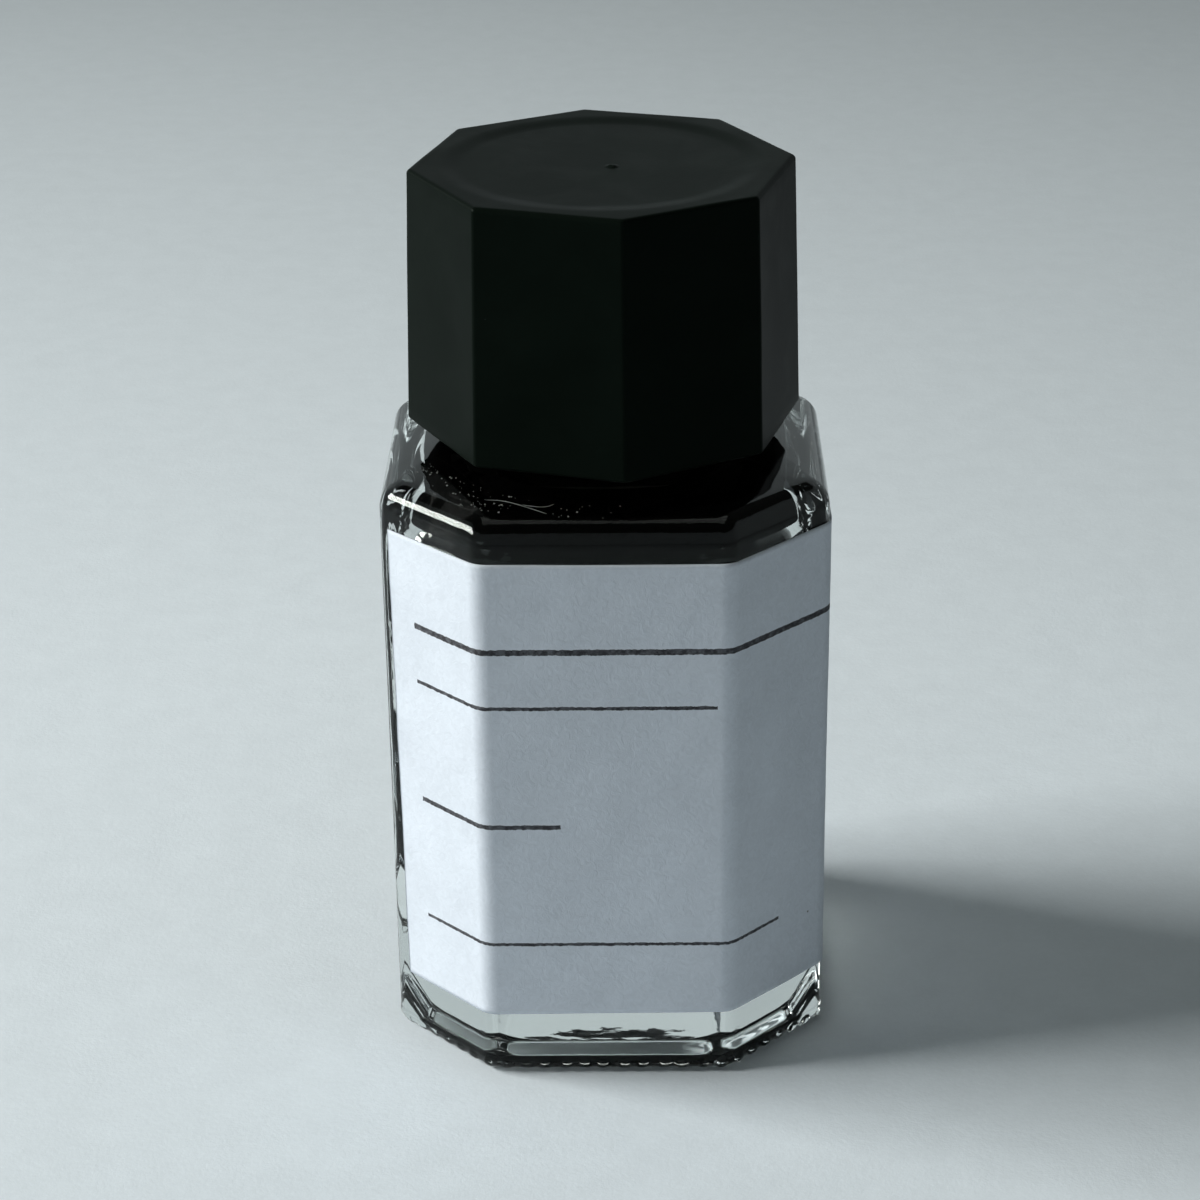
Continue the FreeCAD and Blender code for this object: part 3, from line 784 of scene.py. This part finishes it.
def shoulderPoints():
    # points, outward directions and turns in degrees of the glass on the dusty stretch of its shoulder
    mesh = mouldedGlass.data
    points, normals = np.empty((2, len(mesh.vertices) * 3))
    mesh.vertices.foreach_get("co", points)
    mesh.vertices.foreach_get("normal", normals)
    points, normals = points.reshape(-1, 3) / mm, normals.reshape(-1, 3)
    turn = np.mod(np.degrees(np.arctan2(points[:, 1], points[:, 0])), 360)
    reach = np.linalg.norm(points[:, :2], axis=1)
    chosen = (normals[:, 2] > 0.9) & (points[:, 2] > glassSizes["shoulderStart"])
    for measure, (low, high) in ((turn, dustSizes["turn"]), (reach, dustSizes["reach"])):
        chosen &= (measure > low) & (measure < high)
    return points[chosen], normals[chosen], turn[chosen]


def flakePoints(points, normals, turn, angle):
    # flat six-sided grains of random outline that lie on the glass, more of them where the turn is
    # small: a rim, a top and an underside for each
    d = dustSizes
    random = np.random.default_rng(31)
    weight = 1.2 - (turn - d["turn"][0]) / (d["turn"][1] - d["turn"][0])
    picked = random.choice(len(points), d["flakes"], p=weight / weight.sum())
    base, normal = points[picked], normals[picked]
    first = np.cross(normal, random.normal(size=base.shape))
    first /= np.linalg.norm(first, axis=1, keepdims=True)
    second = np.cross(normal, first)
    base = base + first * random.uniform(-d["scatter"], d["scatter"], (len(base), 1))
    size = d["size"][0] + (d["size"][1] - d["size"][0]) * random.random(len(base)) ** 3
    radius = size[:, None] * random.uniform(0.5, 1.0, (len(base), d["sides"]))
    rim = base[:, None] + first[:, None] * (radius * np.cos(angle))[..., None]
    rim = rim + second[:, None] * (radius * np.sin(angle))[..., None] + normal[:, None] * d["lift"]
    tops = base + normal * (d["lift"] + size[:, None] * 0.5)
    under = base + normal * d["under"]
    return np.concatenate([rim, tops[:, None], under[:, None]], axis=1).reshape(-1, 3)


def hairPoints(points, angle, direction, reach, heading, length, bend):
    # a thin tube whose heading turns evenly along it; its height is that of the glass, smoothed, with
    # a slow wave, and it tapers by the sixth power of the distance from its middle
    d = dustSizes
    share = np.linspace(0, 1, d["hairSteps"])
    path = np.radians(heading + bend * share)
    step, start = length / d["hairSteps"], math.radians(direction)
    x = reach * math.cos(start) + np.cumsum(np.cos(path)) * step
    y = reach * math.sin(start) + np.cumsum(np.sin(path)) * step
    apart = (points[None, :, 0] - x[:, None]) ** 2 + (points[None, :, 1] - y[:, None]) ** 2
    z = points[np.argmin(apart, axis=1), 2] + d["hairLift"] * (1 + np.sin(share * d["hairWaves"]))
    z = np.convolve(np.pad(z, 4, mode="edge"), np.ones(9) / 9, mode="valid")
    across = np.stack([-np.sin(path), np.cos(path), np.zeros_like(path)], axis=1)
    thin = d["hairRadius"] * np.sqrt(np.clip(1 - (2 * share - 1) ** 6, 0.05, 1))[:, None, None]
    upward = np.array([0, 0, 1]) * np.sin(angle)[None, :, None]
    ring = across[:, None] * np.cos(angle)[None, :, None] + upward
    return (np.stack([x, y, z], axis=1)[:, None] + ring * thin).reshape(-1, 3)


def makeDust(material):
    # flakes and hairs on the shoulder, each a closed surface
    d = dustSizes
    points, normals, turn = shoulderPoints()
    sides, side = d["sides"], np.arange(d["sides"])
    angle, after = side * fullTurn / sides, (side + 1) % sides
    blocks = [flakePoints(points, normals, turn, angle)]
    starts = np.arange(0, len(blocks[0]), sides + 2)[:, None, None]
    upper = np.stack([side, after, np.full(sides, sides)], axis=1)
    lower = np.stack([after, side, np.full(sides, sides + 1)], axis=1)
    faces = [(starts + upper).reshape(-1, 3), (starts + lower).reshape(-1, 3)]
    total = len(blocks[0])
    for hair in d["hairs"]:
        blocks.append(hairPoints(points, angle, *hair))
        last = total + (d["hairSteps"] - 1) * sides
        faces += [gridFaces(d["hairSteps"], sides, total), (total + side[::-1])[None], (last + side)[None]]
        total += len(blocks[-1])
    return addPiece("shoulder_dust", np.concatenate(blocks), faces, material, "bottle")


def dustMaterial():
    # pale grey lint, each grain a little different
    material, tree, shader, place = newMaterial("lintDust")
    tone = noise(tree, place, 3000.0, 2.0)
    put(tree, shader.inputs["Base Color"],
        blendColour(tree, tone, (0.08, 0.09, 0.085, 1), (0.42, 0.45, 0.44, 1)))
    shader.inputs["Roughness"].default_value = 0.9
    return material


makeDust(dustMaterial())
print("dust ready")

inkSizes = {
    "wetting": 0.04,
    "wallGap": 0.03,
    "rise": 1.2,
    "meniscus": 0.4,
}


def makeInk(material):
    # fills the hollow up into the bore: a hair off the walls, a hair into the floor, roof and bore so
    # that no gap shows there; its top sinks by the cube of the distance from the bore's wall
    g = glassSizes
    bore = g["boreRadius"] + inkSizes["wetting"]
    hollow = hollowRows(-inkSizes["wallGap"], inkSizes["wetting"])[1:]
    root = hollow[-1, 4] + g["boreRootRound"]
    level = root + inkSizes["rise"]
    middle, share = level - inkSizes["meniscus"], evenly(8)[0]
    throat = profileRows(ringRow(g["boreRadius"] + g["boreRootRound"], hollow[-1, 4]), [
        (ringRow(bore, root), rounded(4, 270, 180)),
        (ringRow(bore, level), evenly(3)),
        (ringRow(0.05, middle), (share, 1 - (1 - share) ** 3)),
    ])
    rows, count = np.concatenate([hollow, throat]), g["around"]
    points = glassBlock(rows, count, True).reshape(-1, 3)
    points = np.vstack([points, [0, 0, rows[0, 4]], [0, 0, middle]])
    faces = closedFaces(len(rows), count)
    return addPiece("ink_fill", points, faces, material, "bottle", ["ink"])


def inkMaterial():
    # opaque black with a trace of brown where it clouds
    material, tree, shader, place = newMaterial("blackInk")
    cloud = noise(tree, place, 160.0, 4.0)
    put(tree, shader.inputs["Base Color"],
        blendColour(tree, cloud, (0.0003, 0.0003, 0.0004, 1), (0.0010, 0.0008, 0.0007, 1)))
    put(tree, shader.inputs["Roughness"], rescale(tree, cloud, 0.3, 0.7, 0.04, 0.1))
    shader.inputs["Specular IOR Level"].default_value = 0.004
    return material


makeInk(inkMaterial())
print("ink ready")

labelSizes = {
    "length": 60.5,
    "start": 0.5,
    "gap": 0.02,
    "thickness": 0.1,
    "skew": 0.75,
    "tilt": 0.12,
    "wave": 0.04,
    # how far the edges come up from the glass, over what distance, and how deep it wrinkles
    "lift": 0.06,
    "liftReach": 0.6,
    "wrinkle": 0.012,
    "columns": 420,
    "rows": 110,
    "bottom": labelLow[2],
    "top": labelHigh[2],
    # ruled lines to write on: height above the label's bottom, start, end, thickness
    "rules": [
        (27.6, 2.3, 37.0, 0.42), (23.5, 2.3, 24.0, 0.26),
        (14.6, 2.3, 13.4, 0.34), (5.5, 2.3, 29.5, 0.24),
    ],
    "paper": (0.725, 0.778, 0.855, 1.0),
    "print": (0.022, 0.020, 0.024, 1.0),
}


def makeLabel(material):
    # a strip along the outline of the glass: a point is its distance along the strip and its height
    g, s = glassSizes, labelSizes
    dense = 4096
    outline = outlinePoints(bodyReference[None], dense, g["flatShare"], bodyReference)[0][:, :2]
    outline = np.vstack([outline, outline[:1]])
    steps = np.linalg.norm(np.diff(outline, axis=0), axis=1)
    passed = np.concatenate([[0], np.cumsum(steps)])
    firstFace = faceCount // 2 + 1
    begin = passed[firstFace * dense // faceCount] + s["start"]
    # the strip's own coordinates: slanted ends, and both long edges a little out of level
    share, tall = np.linspace(0, 1, s["columns"])[None], s["top"] - s["bottom"]
    rise = np.linspace(0, 1, s["rows"])[:, None]
    slant = math.tan(math.radians(s["skew"])) * tall * (0.5 - rise)
    distance = share * s["length"] + slant * (1 - share)
    level = s["bottom"] + rise * tall + s["tilt"] * (share - 0.5)
    level = level + s["wave"] * np.sin(share * 11.0 + 1.0) * (2 * rise - 1)
    place = np.mod(begin + distance, passed[-1])
    x, y = np.interp(place, passed, outline[:, 0]), np.interp(place, passed, outline[:, 1])
    ahead = np.mod(place + 0.01, passed[-1])
    tangent = np.stack([np.interp(ahead, passed, outline[:, 0]) - x,
                        np.interp(ahead, passed, outline[:, 1]) - y], axis=2)
    tangent /= np.linalg.norm(tangent, axis=2, keepdims=True)
    outward = np.stack([tangent[..., 1], -tangent[..., 0], np.zeros_like(x)], axis=2)
    sheet = np.stack([x, y, level], axis=2)
    ripple = g["outsideRipple"] * bumpyField(sheet, g["outsideWave"], 3)
    edge = np.minimum(np.minimum(rise, 1 - rise) * tall, np.minimum(share, 1 - share) * s["length"])
    lift = s["lift"] * np.exp(-edge / s["liftReach"]) * (0.5 + 0.5 * bumpyField(sheet, 6.0, 21))
    wrinkle = s["wrinkle"] * (1 + bumpyField(sheet, 3.5, 22))
    inner = ripple + s["gap"] + np.maximum(lift, 0) + wrinkle
    back = sheet + outward * inner[..., None]
    front = back + outward * s["thickness"]

    columns, size = s["columns"], s["rows"] * s["columns"]
    grid = np.arange(size).reshape(s["rows"], columns)

    def band(first, second):
        return np.stack([first[:-1], first[1:], second[1:], second[:-1]], axis=1)

    faces = [
        gridFaces(s["rows"], columns, closed=False),
        gridFaces(s["rows"], columns, size, closed=False)[:, ::-1],
        band(grid[-1], grid[-1] + size),
        band(grid[0] + size, grid[0]),
        band(grid[::-1, 0], grid[::-1, 0] + size),
        band(grid[:, -1], grid[:, -1] + size),
    ]
    along = np.broadcast_to(share * s["length"], x.shape)
    flat = np.stack([along, level - s["bottom"]], axis=2).reshape(-1, 2)
    points = np.concatenate([front, back]).reshape(-1, 3)
    return addPiece("paper_label", points, faces, material, "bottle", ["wrap_label"],
                    mapped=np.concatenate([flat, flat]))


def labelMaterial():
    # uncoated paper: fibres in its tone and bump, printed rules with soft edges, a few specks
    material, tree, shader, place = newMaterial("labelPaper")
    s = labelSizes
    fibre = useGroup(tree, fibreGroup, Place=place, Size=1.6)
    paper = blendColour(tree, rescale(tree, fibre["Tone"], 0.33, 0.67), darker(s["paper"], 0.86), s["paper"])
    specks = useGroup(tree, speckGroup, Place=place, Spacing=3.4, Radius=0.03, Share=0.1)["Mask"]
    paper = blendColour(tree, specks, paper, (0.12, 0.12, 0.13, 1.0))
    spread = addNode(tree, "UVMap", uv_map="UVMap").outputs["UV"]
    flat = addNode(tree, "SeparateXYZ", {"Vector": spread}).outputs
    soft = noise(tree, place, 3600.0, 2.0)
    wobble = times(tree, calc(tree, "SUBTRACT", soft, 0.5), 0.16)
    across, up = plus(tree, flat["X"], wobble), plus(tree, flat["Y"], wobble)

    def within(position, middle, half):
        apart = calc(tree, "ABSOLUTE", calc(tree, "SUBTRACT", position, middle))
        return calc(tree, "LESS_THAN", apart, half)

    printed = 0.0
    for height, start, end, thickness in s["rules"]:
        onLine = within(up, height, thickness / 2)
        between = within(across, (start + end) / 2, (end - start) / 2)
        printed = calc(tree, "MAXIMUM", printed, times(tree, onLine, between))
    strength = times(tree, printed, rescale(tree, soft, 0.25, 0.6, 0.82, 0.97))
    put(tree, shader.inputs["Base Color"], blendColour(tree, strength, paper, s["print"]))
    shader.inputs["Roughness"].default_value = 0.88
    shader.inputs["Specular IOR Level"].default_value = 0.25
    bumped(tree, shader, fibre["Height"], 0.03)
    return material


makeLabel(labelMaterial())
print("label ready")

capSizes = {
    "around": 384,
    "flatShare": 0.62,
    "turn": 28.5,
    "bottom": shellLow[2],
    "top": shellHigh[2],
    "draft": 1.5,
    "topHalf": 11.95,
    "wall": 1.2,
    "crown": 1.4,
    "cornerRound": 0.4,
    "edgeRound": 0.32,
    "rimRound": 0.2,
    "dishMargin": 1.9,
    "dishDepth": 0.16,
    "dishFade": 0.9,
    "dishSlope": 0.03,
    "gatePlace": (0.75, -0.65),
    "gateReach": 4.0,
    "gateRadius": 0.34,
    "gateHeight": 0.12,
    "sink": 0.05,
    "ripple": 0.012,
    "wave": 7.0,
    # ribs inside that hold the insert
    "ribThickness": 0.9,
    "ribInner": 3.0,
    "ribHeld": 10.4,
    "hookReach": 0.55,
    "hookHeight": 0.4,
}


def turnedBy(points, degrees):
    # points turned about the upright axis
    turn = math.radians(degrees)
    x = points[..., 0] * math.cos(turn) - points[..., 1] * math.sin(turn)
    y = points[..., 0] * math.sin(turn) + points[..., 1] * math.cos(turn)
    return np.stack([x, y, points[..., 2]], axis=-1)


def ribShapes():
    # eight flat ribs, one on each face: an outline in a plane through the axis, given a thickness
    c = capSizes
    low, high = insertLow[2], insertHigh[2]
    wall, crown = c["topHalf"] - c["wall"] / 2, c["top"] - c["crown"] / 2
    corners = np.array([
        (c["ribInner"], crown), (c["ribInner"], high), (c["ribHeld"], high), (c["ribHeld"], low),
        (c["ribHeld"] - c["hookReach"], low), (c["ribHeld"], low - c["hookHeight"]),
        (wall, low - c["hookHeight"]), (wall, crown),
    ])
    side = np.stack([corners[:, 0], np.full(len(corners), c["ribThickness"] / 2), corners[:, 1]], axis=1)
    rib = np.concatenate([side, side * [1, -1, 1]])
    count = len(corners)
    edge = np.arange(count)
    after = (edge + 1) % count
    walls = np.stack([edge, after, after + count, edge + count], axis=1)
    faces = [edge[::-1][None], (edge + count)[None], walls]
    ribs = np.concatenate([turnedBy(rib, k * 360 / faceCount) for k in range(faceCount)])
    return ribs, [group + k * 2 * count for k in range(faceCount) for group in faces]


def makeShell(material):
    # one closed surface: ceiling, inner wall, rim, outer wall, crown with its dish and gate mark
    c = capSizes
    count, bottom, top = c["around"], c["bottom"], c["top"]
    slope = math.tan(math.radians(c["draft"]))

    def wallRow(inset, height, rounding=None, ripple=0.0):
        half = c["topHalf"] + (top - height) * slope - inset
        return cutRow(half, half, c["cornerRound"] if rounding is None else rounding, height, ripple)

    def crownRow(inset, height, ripple=0.0):
        half = c["topHalf"] - inset
        return cutRow(half, half, c["cornerRound"], height, ripple)

    ceiling, dish = top - c["crown"], c["topHalf"] - c["dishMargin"]
    rimRound, edgeRound, deep = c["rimRound"], c["edgeRound"], top - c["dishDepth"]
    lowest = deep - c["dishSlope"]
    rows = profileRows(ringRow(0.0, ceiling), [
        (ringRow(c["ribHeld"] - 1.0, ceiling), evenly(3)),
        (wallRow(c["wall"], ceiling), evenly(2)),
        (wallRow(c["wall"], bottom + rimRound), evenly(6)),
        (wallRow(c["wall"] - rimRound, bottom), rounded(4, 180, 270)),
        (wallRow(rimRound, bottom), evenly(1)),
        (wallRow(0.0, bottom + rimRound, ripple=c["ripple"]), rounded(4, -90, 0)),
        (wallRow(0.0, top - edgeRound, ripple=c["ripple"]), evenly(22)),
        (crownRow(edgeRound, top, c["ripple"]), rounded(5, 0, 90)),
        (ringRow(dish + c["dishFade"], top), evenly(4)),
        (ringRow(dish - c["dishFade"], deep), eased(10)),
        (ringRow(1.2, lowest, c["ripple"]), evenly(9)),
        (ringRow(0.1, lowest), evenly(9)),
    ])[1:]
    reference = wallRow(0.0, top)
    points = outlinePoints(rows, count, c["flatShare"], reference)
    points = points + outwardOf(points) * (rows[:, 5, None] * bumpyField(points, c["wave"], 11))[..., None]
    # each outer face sinks slightly towards its middle
    step = np.mod(np.arange(count) * faceCount / count, 1) / c["flatShare"]
    across = np.clip(1 - (2 * step - 1) ** 2, 0, 1)[None]
    outer = (rows[:, 5] > 0) & (rows[:, 3] == 0) & (rows[:, 4] < top - edgeRound)
    middle = np.clip(1 - ((rows[:, 4] - (top + bottom) / 2) / ((top - bottom) / 2)) ** 2, 0, 1)
    points -= outwardOf(points) * (c["sink"] * across * (outer * middle)[:, None])[..., None]
    # the gate mark stands a little off the middle of the dish, so the rings there move over to it
    reach = np.linalg.norm(points[:, :, :2], axis=2)
    inDish = ((rows[:, 4] <= top) & (rows[:, 4] > ceiling + c["crown"] / 2) & (rows[:, 3] == 1))[:, None]
    nearGate = np.clip(1 - reach / c["gateReach"], 0, 1) * inDish
    stub = c["gateHeight"] * np.exp(-(reach / c["gateRadius"]) ** 4) * inDish
    spiked = 1 + 0.5 * bumpyField(points, 0.5, 12)
    gate = turnedBy(np.array([*c["gatePlace"], 0.0]), -c["turn"])
    points[:, :, :2] += nearGate[..., None] * gate[:2]
    points[:, :, 2] += stub * spiked
    shell = points.reshape(-1, 3)
    poles = np.array([[0, 0, ceiling], [gate[0], gate[1], lowest + c["gateHeight"]]])
    ribs, ribFaces = ribShapes()
    faces = closedFaces(len(rows), count) + [group + len(shell) + 2 for group in ribFaces]
    everything = turnedBy(np.concatenate([shell, poles, ribs]), c["turn"])
    return addPiece("moulded_cap", everything, faces, material, "cap", ["cap_shell"])


def plasticMaterial(name, dark, light, roughness, index, grain, dust):
    # moulded plastic: slow tone changes, fine grain, rubbed and dusty places
    material, tree, shader, place = newMaterial(name)
    skin = useGroup(tree, mouldGroup, Place=place, Grain=grain, Wave=5.0)
    marks = useGroup(tree, handlingGroup, Place=place, Size=6.0)["Mask"]
    specks = useGroup(tree, speckGroup, Place=place, Spacing=1.5, Radius=0.045, Share=dust)["Mask"]
    tone = blendColour(tree, rescale(tree, skin["Tone"], 0.3, 0.7), dark, light)
    put(tree, shader.inputs["Base Color"], blendColour(tree, specks, tone, (0.10, 0.11, 0.11, 1)))
    worn = rescale(tree, marks, 0, 1, roughness, roughness * 0.85)
    put(tree, shader.inputs["Roughness"], calc(tree, "MAXIMUM", worn, times(tree, specks, 0.9)))
    shader.inputs["IOR"].default_value = index
    shader.inputs["Specular Tint"].default_value = (0.76, 1.0, 0.86, 1.0)
    bumped(tree, shader, skin["Height"], 0.02)
    return material


makeShell(plasticMaterial("capPlastic", (0.0022, 0.0040, 0.0028, 1), (0.0034, 0.0058, 0.0042, 1), 0.4, 1.08,
                          0.16, 0.04))
print("cap ready")


def foamMaterial():
    # closed-cell foam: fine round cells in its bump and tone
    material, tree, shader, place = newMaterial("linerFoam")
    cells = addNode(tree, "TexVoronoi", {"Vector": place, "Scale": 6500.0}).outputs["Distance"]
    tone = blendColour(tree, cells, (0.62, 0.61, 0.57, 1), (0.83, 0.82, 0.78, 1))
    put(tree, shader.inputs["Base Color"], tone)
    shader.inputs["Roughness"].default_value = 0.8
    bumped(tree, shader, cells, 0.08)
    return material


def filmMaterial():
    # smooth film with faint creases from the rim that presses on it
    material, tree, shader, place = newMaterial("linerFilm")
    crease = noise(tree, place, 420.0, 4.0, Distortion=1.5)
    tone = blendColour(tree, crease, (0.78, 0.78, 0.75, 1), (0.86, 0.86, 0.84, 1))
    put(tree, shader.inputs["Base Color"], tone)
    put(tree, shader.inputs["Roughness"], rescale(tree, crease, 0.3, 0.7, 0.22, 0.38))
    bumped(tree, shader, crease, 0.03)
    return material


def finishKept(node, material):
    # gives a part of the frame its own finish
    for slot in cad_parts[node].material_slots:
        slot.material = material


finishKept("cap_insert", plasticMaterial("insertPlastic", (0.012, 0.013, 0.0125, 1), (0.018, 0.019, 0.018, 1),
                                         0.5, 1.4, 0.25, 0.01))
finishKept("liner_core", foamMaterial())
finishKept("liner_films", filmMaterial())
print("insert and liner finished")

scene.view_settings.view_transform = "Standard"
